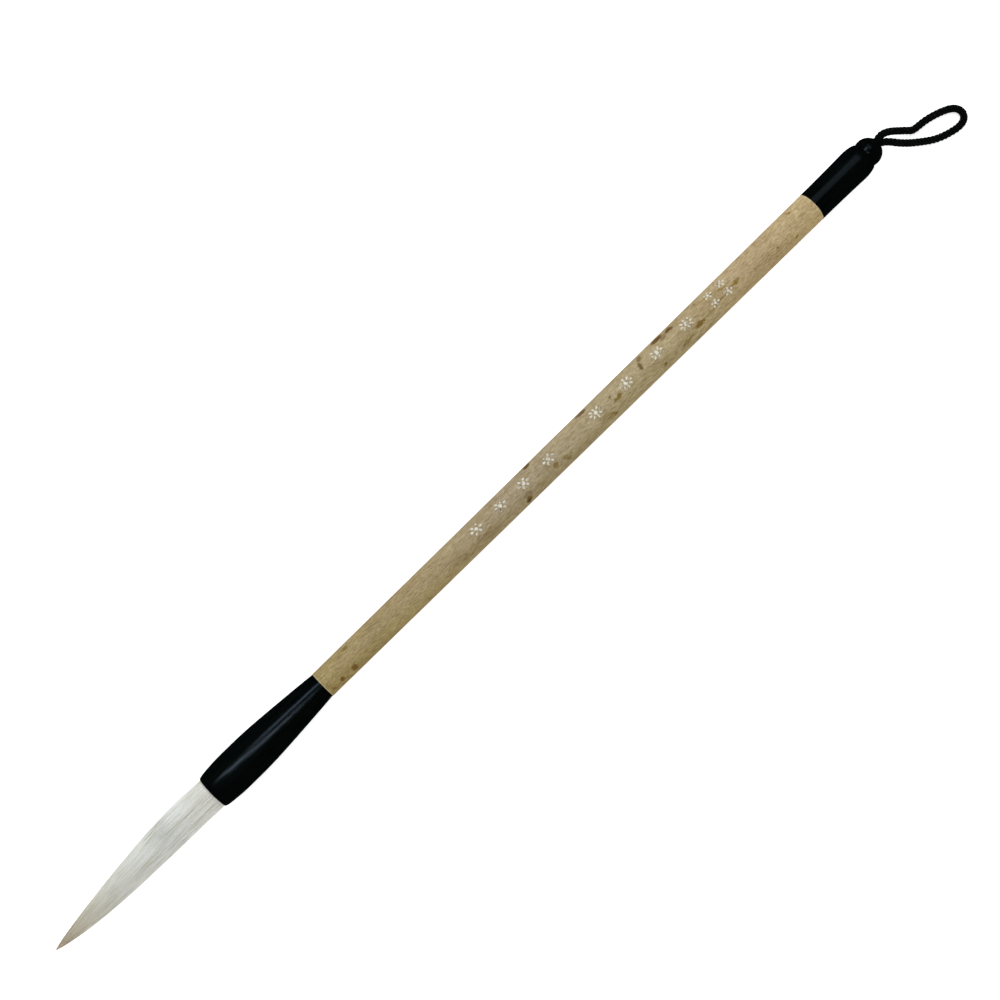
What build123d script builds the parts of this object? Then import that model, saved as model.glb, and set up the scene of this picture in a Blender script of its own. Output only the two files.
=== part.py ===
from build123d import *

import math
import os

# A hair brush for writing with ink: a goat hair tuft in a turned black ferrule, a bamboo shaft, and a
# turned black tail cap with a cord to hang the brush by. Millimetres. The brush lies along X with its
# tip towards -X and rests on the belly of the ferrule at z = 0. The origin is under its middle.

brush_length = 289.7
hair_length = 54.0
ferrule_length = 37.75
cap_length = 24.1

# Radii of the turned outline.
belly_radius = 5.40
lip_radius = 4.64
lip_shoulder_radius = 5.07
ferrule_rear_radius = 3.65
shaft_front_radius = 3.75
shaft_rear_radius = 4.22
cap_swell_radius = 4.46
groove_radius = 3.45
bead_radius = 3.74

# Hollows of the ferrule, the cane and the cap.
mouth_radius = 4.35
mouth_depth = 14.0
vent_radius = 1.6
front_tenon_radius = 2.7
front_tenon_length = 11.5
rear_tenon_radius = 2.8
rear_tenon_length = 12.5
lumen_radius = 1.4
chamber_radius = 2.3
chamber_length = 5.4
cord_hole_radius = 1.5
glue_gap = 0.05
end_gap = 0.5

# The tuft. It bends just outside the ferrule's mouth, and again halfway to its tip.
root_depth = 12.6
core_radius = 2.1
lining_radius = 3.2
base_pivot_from_tip = 53.0
base_dome_radius = 4.05
point_pivot_from_tip = 30.0
point_dome_radius = 3.62
bend_gap = 0.28
thread_diameter = 0.4
thread_turns = 5

# The engraved ornament.
engraving_depth = 0.25
paint_below_skin = 0.06
engraving_roll = 16.0

# The hanging cord. Its free loop swings about an upright line just outside the cap.
# The knot and the cap's hole press the cord thinner than it is outside.
cord_diameter = 1.75
pressed_cord_diameter = 1.4
leg_spacing = 1.44
swing_pivot_from_cap = 1.6
swing_gap = 1.1

tip_x = -brush_length / 2
mouth_x = tip_x + hair_length
ferrule_rear_x = mouth_x + ferrule_length
tail_x = brush_length / 2
cap_x = tail_x - cap_length
axis_z = belly_radius

brush_axis = Axis((0, 0, axis_z), (1, 0, 0))
# Turned profiles are drawn on this plane: along the brush first, then out from its axis.
lathe = Plane(origin=(0, 0, axis_z), x_dir=(1, 0, 0), z_dir=(0, -1, 0))

os.makedirs("parts", exist_ok=True)


# ---------------------------------------------------------------- ferrule
# Turned from black horn. Its mouth holds the root of the tuft, its rear socket holds the shaft's
# tenon, and a narrow vent joins them. A cylindrical land on the belly takes the travelling cap.
land_start_x = mouth_x + 7.6
land_end_x = land_start_x + 4.0
mouth_end_x = mouth_x + mouth_depth
ferrule_socket_x = ferrule_rear_x - front_tenon_length - end_gap
lip_shoulder_back = 2.0
lip_round = 0.15
mouth_edge_round = 0.08

with BuildPart() as ferrule:
    with BuildSketch(lathe) as ferrule_profile:
        with BuildLine():
            Polyline(
                (ferrule_rear_x, ferrule_rear_radius),
                (ferrule_rear_x, front_tenon_radius + glue_gap),
                (ferrule_socket_x, front_tenon_radius + glue_gap),
                (ferrule_socket_x, vent_radius),
                (mouth_end_x, vent_radius),
                (mouth_end_x, mouth_radius),
                (mouth_x, mouth_radius),
                (mouth_x, lip_radius),
            )
            Spline(
                (mouth_x, lip_radius),
                (mouth_x + lip_shoulder_back, lip_shoulder_radius),
                (land_start_x, belly_radius),
                tangents=((1, 0.5), (1, 0)),
            )
            Line((land_start_x, belly_radius), (land_end_x, belly_radius))
            Spline(
                (land_end_x, belly_radius),
                (mouth_x + 21.2, 5.00),
                (mouth_x + 30.1, 4.32),
                (ferrule_rear_x, ferrule_rear_radius),
                tangents=((1, 0), (1, -0.1)),
            )
        make_face()
        mouth_corners = ferrule_profile.vertices().group_by(Axis.X)[0].sort_by(Axis.Y)
        fillet(mouth_corners[-1], radius=lip_round)
        fillet(mouth_corners[0], radius=mouth_edge_round)
    revolve(axis=brush_axis)
ferrule.part.label = "ferrule"


# ---------------------------------------------------------------- engraved ornament
# Three groups of small flowers down the shaft, cut through the skin of the cane and filled with white
# paint. Each entry: place from the tip, roll about the brush, petals, length along the brush, width.
flowers = [(place, engraving_roll, 6, 4.1, 3.0) for place in (146.0, 154.4, 162.5, 171.2)]
flowers += [(place, engraving_roll, 8, 4.6, 3.3) for place in (188.0, 198.7, 209.7, 220.3)]
for pair_roll in (engraving_roll + 21.0, engraving_roll - 21.0):
    flowers += [(place, pair_roll, 5, 2.9, 2.3) for place in (229.4, 233.9)]
cutter_reach = 6.0
cut_above_skin = 0.2
# Sizes of a flower's parts, as shares of its length and width.
centre_share = 0.17
petal_place_share = 0.34
petal_length_share = 0.15
petal_width_share = 0.60
band_margin = 5.0


def shaft_radius(x):
    """Outer radius of the cane, which thickens evenly towards the tail."""
    share = (x - ferrule_rear_x) / (cap_x - ferrule_rear_x)
    return shaft_front_radius + share * (shaft_rear_radius - shaft_front_radius)


def shaft_skin(inner_depth, outer_depth):
    """The band of the cane between two depths below its skin, where the ornament is cut."""
    start_x = tip_x + flowers[0][0] - band_margin
    end_x = tip_x + flowers[-1][0] + band_margin
    with BuildPart() as band:
        with BuildSketch(lathe):
            Polygon(
                (start_x, shaft_radius(start_x) - inner_depth),
                (end_x, shaft_radius(end_x) - inner_depth),
                (end_x, shaft_radius(end_x) - outer_depth),
                (start_x, shaft_radius(start_x) - outer_depth),
                align=None,
            )
        revolve(axis=brush_axis)
    return band.part


with BuildPart() as flower_prisms:
    for place, roll, petals, length, width in flowers:
        outward = (0, math.sin(math.radians(roll)), math.cos(math.radians(roll)))
        face = Plane(origin=(tip_x + place, 0, axis_z), x_dir=(1, 0, 0), z_dir=outward)
        with BuildSketch(face):
            Circle(centre_share * width)
            for petal in range(petals):
                turn = 2 * math.pi * petal / petals
                along, across = length * math.cos(turn), width * math.sin(turn)
                petal_place = (petal_place_share * along, petal_place_share * across, 0)
                with Locations(Location(petal_place, math.degrees(turn))):
                    Ellipse(petal_length_share * width, petal_width_share * width / petals)
        extrude(amount=cutter_reach)

with BuildPart() as engraving_cut:
    add(flower_prisms.part)
    add(shaft_skin(engraving_depth, -cut_above_skin), mode=Mode.INTERSECT)

with BuildPart() as engraving_paint:
    add(flower_prisms.part)
    add(shaft_skin(engraving_depth, paint_below_skin), mode=Mode.INTERSECT)
engraving_paint.part.label = "engraving_paint"


# ---------------------------------------------------------------- shaft
# One internode of bamboo. It keeps its natural skin between the two joints, and each end is turned
# down to a tenon that is glued into its socket.
shaft_front_x = ferrule_rear_x - front_tenon_length
shaft_end_x = cap_x + rear_tenon_length
tenon_chamfer = 0.3

with BuildPart() as bamboo_shaft:
    with BuildSketch(lathe) as shaft_profile:
        with BuildLine():
            Polyline(
                (shaft_front_x, lumen_radius),
                (shaft_end_x, lumen_radius),
                (shaft_end_x, rear_tenon_radius),
                (cap_x, rear_tenon_radius),
                (cap_x, shaft_rear_radius),
                (ferrule_rear_x, shaft_front_radius),
                (ferrule_rear_x, front_tenon_radius),
                (shaft_front_x, front_tenon_radius),
                close=True,
            )
        make_face()
        ends = shaft_profile.vertices().group_by(Axis.X)
        chamfer([ends[0].sort_by(Axis.Y)[-1], ends[-1].sort_by(Axis.Y)[-1]], length=tenon_chamfer)
    revolve(axis=brush_axis)
    add(engraving_cut.part, mode=Mode.SUBTRACT)
bamboo_shaft.part.label = "bamboo_shaft"


# ---------------------------------------------------------------- tail cap
# Turned from black horn in one piece with its bead. A blind socket takes the shaft's tenon, a chamber
# behind it holds the cord's knot, and the cord leaves through the bead.
cap_socket_x = cap_x + rear_tenon_length + end_gap
chamber_end_x = cap_socket_x + chamber_length
bead_x = tail_x - math.sqrt(bead_radius**2 - cord_hole_radius**2)
groove_x = bead_x - math.sqrt(bead_radius**2 - groove_radius**2)
cap_swell_x = groove_x - 3.5
shoulder_start = (groove_x - 1.4, 4.24)
shoulder_end = (groove_x - 0.5, 4.02)
hole_edge_round = 0.2

with BuildPart() as tail_cap:
    with BuildSketch(lathe) as cap_profile:
        with BuildLine():
            TangentArc((cap_x, shaft_rear_radius), (cap_swell_x, cap_swell_radius), tangent=(1, 0))
            Spline(
                (cap_swell_x, cap_swell_radius),
                shoulder_start,
                shoulder_end,
                (groove_x, groove_radius),
                tangents=((1, 0.02), (0, -1)),
            )
            ThreePointArc((groove_x, groove_radius), (bead_x, bead_radius), (tail_x, cord_hole_radius))
            Polyline(
                (tail_x, cord_hole_radius),
                (chamber_end_x, cord_hole_radius),
                (chamber_end_x, chamber_radius),
                (cap_socket_x, chamber_radius),
                (cap_socket_x, rear_tenon_radius + glue_gap),
                (cap_x, rear_tenon_radius + glue_gap),
                (cap_x, shaft_rear_radius),
            )
        make_face()
        fillet(cap_profile.vertices().sort_by(Axis.X)[-1], radius=hole_edge_round)
    revolve(axis=brush_axis)
tail_cap.part.label = "tail_cap"


# ---------------------------------------------------------------- tuft
# Three layers of hair, longest in the middle and outside, short between them. The root is bound, sealed
# and glued into the ferrule. Outside it each layer is parted at two bends, where a dome of the piece in
# front turns inside a hollow of the piece behind.
base_pivot_x = tip_x + base_pivot_from_tip
point_pivot_x = tip_x + point_pivot_from_tip
root_end_x = mouth_x + root_depth
root_radius = mouth_radius - glue_gap
tip_blunt_radius = 0.3
belly_rim_back = 1.6
belly_rim_radius = 3.78
root_rim_back = 3.0
binding_from_root_end = 5.5
binding_x = root_end_x - binding_from_root_end
thread_pitch = thread_diameter + 0.02
binding_length = thread_turns * thread_pitch
core_tip_x = tip_x + 6.0
core_tip_radius = 0.25


def hollow(pivot_x, dome_radius, rim_back):
    """The arc of a hollow round a dome, from the brush's axis out to its rim behind the pivot."""
    radius = dome_radius + bend_gap
    rim_angle = math.degrees(math.acos(rim_back / radius))
    return CenterArc((pivot_x, 0), radius, start_angle=0, arc_size=rim_angle)


with BuildPart() as point_form:
    with BuildSketch(lathe):
        with BuildLine():
            Line((tip_x, 0), (tip_x, tip_blunt_radius))
            Spline(
                (tip_x, tip_blunt_radius),
                (tip_x + 5.3, 1.19),
                (tip_x + 13.9, 2.38),
                (tip_x + 22.6, 3.20),
                (point_pivot_x, point_dome_radius),
            )
            CenterArc((point_pivot_x, 0), point_dome_radius, start_angle=90, arc_size=-90)
            Line((point_pivot_x + point_dome_radius, 0), (tip_x, 0))
        make_face()
    revolve(axis=brush_axis)

with BuildPart() as belly_form:
    with BuildSketch(lathe):
        with BuildLine():
            socket = hollow(point_pivot_x, point_dome_radius, belly_rim_back)
            Line(socket @ 1, (point_pivot_x + belly_rim_back, belly_rim_radius))
            Spline(
                (point_pivot_x + belly_rim_back, belly_rim_radius),
                (tip_x + 39.0, 4.16),
                (tip_x + 46.0, 4.28),
                (base_pivot_x, base_dome_radius),
            )
            CenterArc((base_pivot_x, 0), base_dome_radius, start_angle=90, arc_size=-90)
            Line((base_pivot_x + base_dome_radius, 0), socket @ 0)
        make_face()
    revolve(axis=brush_axis)

with BuildPart() as root_form:
    with BuildSketch(lathe):
        with BuildLine():
            socket = hollow(base_pivot_x, base_dome_radius, root_rim_back)
            Polyline(
                socket @ 1,
                (base_pivot_x + root_rim_back, root_radius),
                (binding_x, root_radius),
                (binding_x, root_radius - thread_diameter),
                (binding_x + binding_length, root_radius - thread_diameter),
                (binding_x + binding_length, root_radius),
                (root_end_x, root_radius),
                (root_end_x, 0),
                socket @ 0,
            )
        make_face()
    revolve(axis=brush_axis)


def rod(radius):
    """A rod on the brush's axis that runs through the whole tuft."""
    with BuildPart() as core:
        with BuildSketch(Plane(origin=(tip_x, 0, axis_z), x_dir=(0, 1, 0), z_dir=(1, 0, 0))):
            Circle(radius)
        extrude(amount=hair_length + root_depth)
    return core.part


# The core of the point narrows with the hairs that end on the way to the tip.
with BuildPart() as hair_core_point:
    with BuildSketch(lathe):
        Polygon(
            (core_tip_x, 0),
            (core_tip_x, core_tip_radius),
            (tip_x + 14.0, 1.25),
            (point_pivot_x, core_radius),
            (point_pivot_x + point_dome_radius, core_radius),
            (point_pivot_x + point_dome_radius, 0),
            align=None,
        )
    revolve(axis=brush_axis)
    add(point_form.part, mode=Mode.INTERSECT)
hair_core_point.part.label = "hair_core_point"

with BuildPart() as hair_mantle_point:
    add(point_form.part)
    add(hair_core_point.part, mode=Mode.SUBTRACT)
hair_mantle_point.part.label = "hair_mantle_point"

# Behind the point the layers are even sleeves round the core.
hair_sleeves = []
for stretch, form in (("belly", belly_form), ("root", root_form)):
    for layer, inner_radius, outer_radius in (
        ("core", None, core_radius),
        ("lining", core_radius, lining_radius),
        ("mantle", lining_radius, None),
    ):
        with BuildPart() as sleeve:
            add(form.part)
            if outer_radius:
                add(rod(outer_radius), mode=Mode.INTERSECT)
            if inner_radius:
                add(rod(inner_radius), mode=Mode.SUBTRACT)
        sleeve.part.label = f"hair_{layer}_{stretch}"
        hair_sleeves.append(sleeve.part)

# Thread wound tight round the root, drawn as closed turns.
with BuildPart() as root_binding:
    with BuildSketch(lathe):
        for turn in range(thread_turns):
            with Locations((binding_x + (turn + 0.5) * thread_pitch, root_radius - thread_diameter / 2)):
                Circle(thread_diameter / 2)
    revolve(axis=brush_axis)
root_binding.part.label = "root_binding"

# Resin poured behind the root, with the plug of it that runs into the vent.
resin_plug_length = 1.2

with BuildPart() as root_glue:
    with BuildSketch(lathe):
        Polygon(
            (root_end_x, 0),
            (root_end_x, root_radius),
            (mouth_end_x, root_radius),
            (mouth_end_x, vent_radius - glue_gap),
            (mouth_end_x + resin_plug_length, vent_radius - glue_gap),
            (mouth_end_x + resin_plug_length, 0),
            align=None,
        )
    revolve(axis=brush_axis)
root_glue.part.label = "root_glue"


# ---------------------------------------------------------------- hanging cord
# One braided cord, doubled. A barrel knot holds it in the cap's chamber, two legs run side by side
# through the bead, and the free loop bends down to lie beside the brush.
cord_radius = cord_diameter / 2
pressed_radius = pressed_cord_diameter / 2
leg_y = leg_spacing / 2
eye_radius = leg_y + pressed_radius
eye_x = tail_x + swing_pivot_from_cap
knot_wraps = 3
knot_wrap_radius = 1.35
knot_pitch = pressed_cord_diameter - 0.1
knot_length = pressed_cord_diameter + (knot_wraps - 1) * knot_pitch
knot_x = chamber_end_x - knot_length

with BuildPart() as cord_knot:
    with BuildSketch(lathe) as knot_profile:
        for wrap in range(knot_wraps):
            with Locations((knot_x + pressed_radius + wrap * knot_pitch, knot_wrap_radius)):
                Circle(pressed_radius)
        Polygon(
            (knot_x, 0),
            (knot_x, knot_wrap_radius),
            (chamber_end_x, knot_wrap_radius),
            (chamber_end_x, 0),
            align=None,
        )
    revolve(axis=brush_axis)
cord_knot.part.label = "cord_knot"

# Seen from above the legs end in a half round about the swing axis, so that the loop can turn past it.
with BuildPart() as cord_legs:
    with BuildSketch(Plane(origin=(chamber_end_x, 0, axis_z), x_dir=(0, 1, 0), z_dir=(1, 0, 0))):
        with Locations((leg_y, 0), (-leg_y, 0)):
            Circle(pressed_radius)
    extrude(amount=eye_x + eye_radius - chamber_end_x)
    with BuildSketch(Plane.XY.offset(axis_z - pressed_cord_diameter)):
        with Locations(((chamber_end_x + eye_x) / 2, 0)):
            Rectangle(eye_x - chamber_end_x, 2 * eye_radius)
        with Locations((eye_x, 0)):
            Circle(eye_radius)
    extrude(amount=2 * pressed_cord_diameter, mode=Mode.INTERSECT)
cord_legs.part.label = "cord_legs"

# The loop's route from the bead and back to it: beyond the cap, to the side, and up from the axis.
cord_route = [
    (tail_x + x, y, axis_z + z)
    for x, y, z in [
        (0.0, 0.9, 0.0),
        (1.8, 0.9, -0.15),
        (3.5, 0.65, -0.6),
        (5.3, -0.1, -1.3),
        (7.2, -1.45, -2.2),
        (9.1, -2.85, -3.1),
        (10.5, -4.1, -3.9),
        (12.4, -4.15, -4.3),
        (14.8, -4.35, -4.5),
        (17.3, -4.9, -4.52),
        (19.7, -5.65, -4.52),
        (22.0, -6.6, -4.52),
        (23.6, -8.0, -4.52),
        (24.0, -10.0, -4.52),
        (22.75, -11.6, -4.52),
        (20.4, -11.9, -4.52),
        (17.8, -11.3, -4.52),
        (15.2, -10.5, -4.4),
        (12.6, -9.3, -4.1),
        (10.1, -7.75, -3.45),
        (7.8, -6.3, -2.6),
        (5.7, -4.75, -1.75),
        (3.9, -3.2, -0.95),
        (2.4, -1.45, -0.35),
        (1.1, -0.95, -0.05),
        (0.0, -0.9, 0.0),
    ]
]
corner_share = 0.45
corner_radii = []
for before, corner, after in zip(cord_route, cord_route[1:], cord_route[2:]):
    run_in, run_out = Vector(corner) - Vector(before), Vector(after) - Vector(corner)
    half_turn = math.radians(run_in.get_angle(run_out)) / 2
    corner_radii.append(corner_share * min(run_in.length, run_out.length) / math.tan(half_turn))

with BuildLine() as cord_line:
    FilletPolyline(*cord_route, radius=corner_radii)
cord_path = cord_line.wire()

with BuildPart() as cord_tube:
    with BuildSketch(Plane(origin=cord_path @ 0, z_dir=cord_path % 0)):
        Circle(cord_radius)
    sweep(path=cord_path)

# The loop keeps clear of a round about the swing axis, and of all that lies behind it.
clear_past_pivot = 0.4
clear_height = 2 * cord_diameter

with BuildPart() as swing_space:
    with BuildSketch(Plane.XY.offset(axis_z - clear_height)):
        with Locations((eye_x, 0)):
            Circle(eye_radius + swing_gap)
        with Locations((tail_x, 0)):
            Rectangle(2 * (swing_pivot_from_cap + clear_past_pivot), 2 * clear_height)
    extrude(amount=2 * clear_height)

with BuildPart() as cord_loop:
    add(cord_tube.part)
    add(swing_space.part, mode=Mode.SUBTRACT)
cord_loop.part.label = "cord_loop"

# A tube's volume is its section times its length.
print("cord route", round(cord_path.length, 2), "mm; corner radii", [round(r, 2) for r in corner_radii])
print("tube volume", round(cord_tube.part.volume, 2))
print("section times length", round(math.pi * cord_radius**2 * cord_path.length, 2))
print("loop beyond the swing gap", round(cord_loop.part.volume / (math.pi * cord_radius**2), 2), "mm")


pieces = [ferrule.part, engraving_paint.part, bamboo_shaft.part, tail_cap.part]
pieces += [hair_core_point.part, hair_mantle_point.part, *hair_sleeves]
pieces += [root_binding.part, root_glue.part, cord_knot.part, cord_legs.part, cord_loop.part]
for piece in pieces:
    export_step(piece, f"parts/{piece.label}.step")
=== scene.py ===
import math

import bpy
import numpy as np
from mathutils import Matrix, Vector


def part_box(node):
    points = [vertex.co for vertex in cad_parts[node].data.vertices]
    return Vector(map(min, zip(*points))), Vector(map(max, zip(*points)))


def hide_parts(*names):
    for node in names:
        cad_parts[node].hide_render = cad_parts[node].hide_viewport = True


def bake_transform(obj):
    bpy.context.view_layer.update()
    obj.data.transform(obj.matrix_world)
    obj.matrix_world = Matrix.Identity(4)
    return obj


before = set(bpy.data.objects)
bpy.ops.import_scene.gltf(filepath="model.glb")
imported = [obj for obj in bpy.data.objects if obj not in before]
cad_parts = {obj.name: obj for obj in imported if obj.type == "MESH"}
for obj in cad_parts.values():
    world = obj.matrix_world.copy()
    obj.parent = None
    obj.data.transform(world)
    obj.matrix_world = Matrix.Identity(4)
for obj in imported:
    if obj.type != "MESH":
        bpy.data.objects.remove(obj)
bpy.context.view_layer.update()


# ---------------------------------------------------------------- camera, floor and light
# The brush lies on a light table, which glows a little so that shadows stay faint. The camera looks almost
# straight down, a little from the side of the tip, and is turned so that the brush runs from the lower left
# to the upper right.
mm = 0.001
view_lean = math.radians(4.76)
view_turn = math.radians(44.32)
view_place = Vector((-0.03025, 0.00211, 0.4990))

along_view = Vector((math.cos(view_lean), 0, math.sin(view_lean)))
across_view = Vector((0, 1, 0))
view_right = math.cos(view_turn) * along_view - math.sin(view_turn) * across_view
view_up = math.sin(view_turn) * along_view + math.cos(view_turn) * across_view

camera_data = bpy.data.cameras.new("camera")
camera_data.sensor_width = 36.0
camera_data.lens = 70.85
camera = bpy.data.objects.new("camera", camera_data)
camera_axes = Matrix((view_right, view_up, view_right.cross(view_up))).transposed().to_4x4()
camera.matrix_world = Matrix.Translation(view_place) @ camera_axes
bpy.context.scene.collection.objects.link(camera)
bpy.context.scene.camera = camera
bpy.context.scene.view_settings.view_transform = "Standard"


def linear(code):
    """The linear colour that a shader takes, from an sRGB colour written as #rrggbb."""
    shares = [int(code[i:i + 2], 16) / 255 for i in (1, 3, 5)]
    return [s / 12.92 if s <= 0.04045 else ((s + 0.055) / 1.055) ** 2.4 for s in shares] + [1.0]


def add_node(tree, kind, inputs=None, stops=None, **settings):
    """Adds a shader node. Inputs are links or constants, stops fill its ramp, settings are its own."""
    node = tree.nodes.new("ShaderNode" + kind)
    for name, value in settings.items():
        setattr(node, name, value)
    for name, value in (inputs or {}).items():
        if isinstance(value, bpy.types.NodeSocket):
            tree.links.new(value, node.inputs[name])
        else:
            node.inputs[name].default_value = value
    for i, (place, value) in enumerate(stops or []):
        ramp = node.color_ramp.elements
        element = ramp[i] if i < 2 else ramp.new(place)
        element.position = place
        element.color = value
    return node


def new_material(name):
    """An empty node material, and its node tree."""
    material = bpy.data.materials.new(name)
    material.use_nodes = True
    material.node_tree.nodes.clear()
    return material, material.node_tree


def close_material(tree, shader):
    """Sends a shader to the material's output."""
    add_node(tree, "OutputMaterial", {"Surface": shader.outputs[0]})


# Opal acrylic lit from below: matt, even, with a faint mottle. It gives the brush a pure white ground.
acrylic, tree = new_material("opal_acrylic")
place = add_node(tree, "TexCoord")
mottle_size = 25 * mm
mottle = add_node(
    tree, "TexNoise", {"Vector": place.outputs["Object"], "Scale": 1 / mottle_size, "Detail": 3.0}
)
white = add_node(
    tree,
    "ValToRGB",
    {"Fac": mottle.outputs["Fac"]},
    stops=[(0.3, linear("#f4f4f3")), (0.7, linear("#f7f7f7"))],
)
acrylic_shader = add_node(
    tree,
    "BsdfPrincipled",
    {
        "Base Color": white.outputs["Color"],
        "Roughness": 0.9,
        "Emission Color": linear("#ffffff"),
        "Emission Strength": 0.55,
    },
)
close_material(tree, acrylic_shader)

table_size = 4.0
table_gap = 0.1 * mm
bpy.ops.mesh.primitive_plane_add(size=table_size, location=(0, 0, -table_gap))
table_top = bpy.context.object
table_top.name = "table_top"
table_top.data.materials.append(acrylic)
table_top.visible_glossy = False


def add_softbox(name, place, size, power, code, yaw=0.0, seen_in_gloss=True):
    """A rectangular light that faces the middle of the brush. Its long side is turned by yaw from +X."""
    light = bpy.data.lights.new(name, "AREA")
    light.shape = "RECTANGLE"
    light.size, light.size_y = size
    light.energy = power
    light.color = linear(code)[:3]
    box = bpy.data.objects.new(name, light)
    back = Vector(place).normalized()
    side = Vector((math.cos(yaw), math.sin(yaw), 0))
    side = (side - back * side.dot(back)).normalized()
    box_axes = Matrix((side, back.cross(side), back)).transposed().to_4x4()
    box.matrix_world = Matrix.Translation(place) @ box_axes
    box.visible_camera = False
    box.visible_glossy = seen_in_gloss
    bpy.context.scene.collection.objects.link(box)


# A big soft key stands over the tuft's left side. It stays out of the gloss, and dimmer boxes give the
# polished pieces their streaks: a narrow strip crosses over the ferrule at a slant, a wider one lies along
# its rear half, and a broad one stands over the cap. Places and sizes are in metres, powers in watts.
strip_yaw = math.radians(-56)
add_softbox("key_light", (0, 0.62, 0.80), (1.6, 0.9), 4.6, "#ffffff", seen_in_gloss=False)
add_softbox("slanted_strip", (-0.095, 0.115, 0.46), (0.40, 0.028), 0.135, "#cce7ff", yaw=strip_yaw)
add_softbox("rear_strip", (0.06, 0.28, 0.46), (0.26, 0.10), 0.13, "#bfe0ff")
add_softbox("cap_box", (0.33, 0.22, 0.46), (0.20, 0.36), 0.065, "#cce7ff")

# The room is white all round, but it is nearly black in the gloss, as behind black screens.
ambient_strength = 0.86
gloss_strength = 0.010
studio = bpy.data.worlds.new("studio")
studio.use_nodes = True
studio.node_tree.nodes.clear()
bpy.context.scene.world = studio
tree = studio.node_tree
rays = add_node(tree, "LightPath")
ambient = add_node(tree, "Background", {"Color": linear("#ffffff"), "Strength": ambient_strength})
dim = add_node(tree, "Background", {"Color": linear("#e6f0ff"), "Strength": gloss_strength})
room = add_node(
    tree, "MixShader", {0: rays.outputs["Is Glossy Ray"], 1: ambient.outputs[0], 2: dim.outputs[0]}
)
add_node(tree, "OutputWorld", {"Surface": room.outputs[0]})


# ---------------------------------------------------------------- hanging cord
# A round braid of eight black cotton strands, doubled into a loop. Both legs leave the hole of the cap
# side by side, and the loop lies on the table beside the brush with one sharp kink in it.
cord_diameter = 1.75 * mm
ferrule_low, ferrule_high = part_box("ferrule")
axis_z = (ferrule_low.z + ferrule_high.z) / 2
tail_x = 0.14485
leg_y = 0.00072
# The cord's way in metres, behind the tail, across from the brush's middle line and up from it. It starts
# at the knot, comes out of the hole, goes once round the loop and goes back in.
route = [
    (-0.0057, leg_y, 0.0),
    (-0.0030, 0.00066, 0.0002),
    (-0.0012, 0.00060, 0.0003),
    (0.0006, 0.00070, 0.0003),
    (0.0021, 0.00080, 0.0000),
    (0.0036, 0.00058, -0.0006),
    (0.0053, -0.00024, -0.0013),
    (0.0072, -0.00160, -0.0022),
    (0.0091, -0.0030, -0.0031),
    (0.0105, -0.0041, -0.0039),
    (0.0124, -0.0043, -0.0041),
    (0.0148, -0.0045, -0.00432),
    (0.0173, -0.00505, -0.00432),
    (0.0197, -0.00582, -0.00432),
    (0.0219, -0.00678, -0.00432),
    (0.0234, -0.0081, -0.00432),
    (0.0238, -0.0100, -0.00432),
    (0.0226, -0.01155, -0.00432),
    (0.0204, -0.0119, -0.00432),
    (0.0178, -0.0114, -0.00432),
    (0.0152, -0.01065, -0.00422),
    (0.0126, -0.0095, -0.0040),
    (0.0101, -0.0079, -0.00345),
    (0.0078, -0.0064, -0.0026),
    (0.0059, -0.0050, -0.00175),
    (0.0042, -0.00348, -0.00095),
    (0.0029, -0.0019, -0.00075),
    (0.0016, -0.00085, -0.0006),
    (0.0004, -0.00045, -0.00042),
    (-0.0012, -0.00060, -0.0003),
    (-0.0030, -0.00066, -0.0002),
    (-0.0057, -leg_y, 0.0),
]
route_data = bpy.data.curves.new("cord_route", "CURVE")
route_data.dimensions = "3D"
route_data.resolution_u = 24
spline = route_data.splines.new("NURBS")
spline.points.add(len(route) - 1)
for point, (x, y, z) in zip(spline.points, route):
    point.co = (tail_x + x, y, axis_z + z, 1.0)
spline.order_u = 3
spline.use_endpoint_u = True
route_object = bpy.data.objects.new("cord_route", route_data)
route_mesh = bpy.data.meshes.new_from_object(route_object)
cord_line = np.array([v.co for v in route_mesh.vertices])
bpy.data.objects.remove(route_object)


def resample(line, step):
    """A line again, with its points evenly spaced about a step apart, and the distance along it."""
    runs = np.linalg.norm(np.diff(line, axis=0), axis=1)
    passed = np.concatenate([[0], np.cumsum(runs)])
    along = np.linspace(0, passed[-1], int(passed[-1] / step) + 1)
    return np.stack([np.interp(along, passed, line[:, k]) for k in range(3)], axis=1), along


def unit(vectors):
    """The same directions at length 1."""
    lengths = np.linalg.norm(vectors, axis=-1, keepdims=True)
    return vectors / np.maximum(lengths, 1e-12)


def carried_sides(line):
    """Two directions square to a line at each point, carried along it without twist."""
    ahead = unit(np.gradient(line, axis=0))
    first = np.empty_like(line)
    first[0] = unit(np.cross(ahead[0], (0, 0, 1)))
    for i in range(1, len(line)):
        side = first[i - 1] - ahead[i] * (first[i - 1] @ ahead[i])
        first[i] = side / np.linalg.norm(side)
    return first, np.cross(ahead, first)


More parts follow.
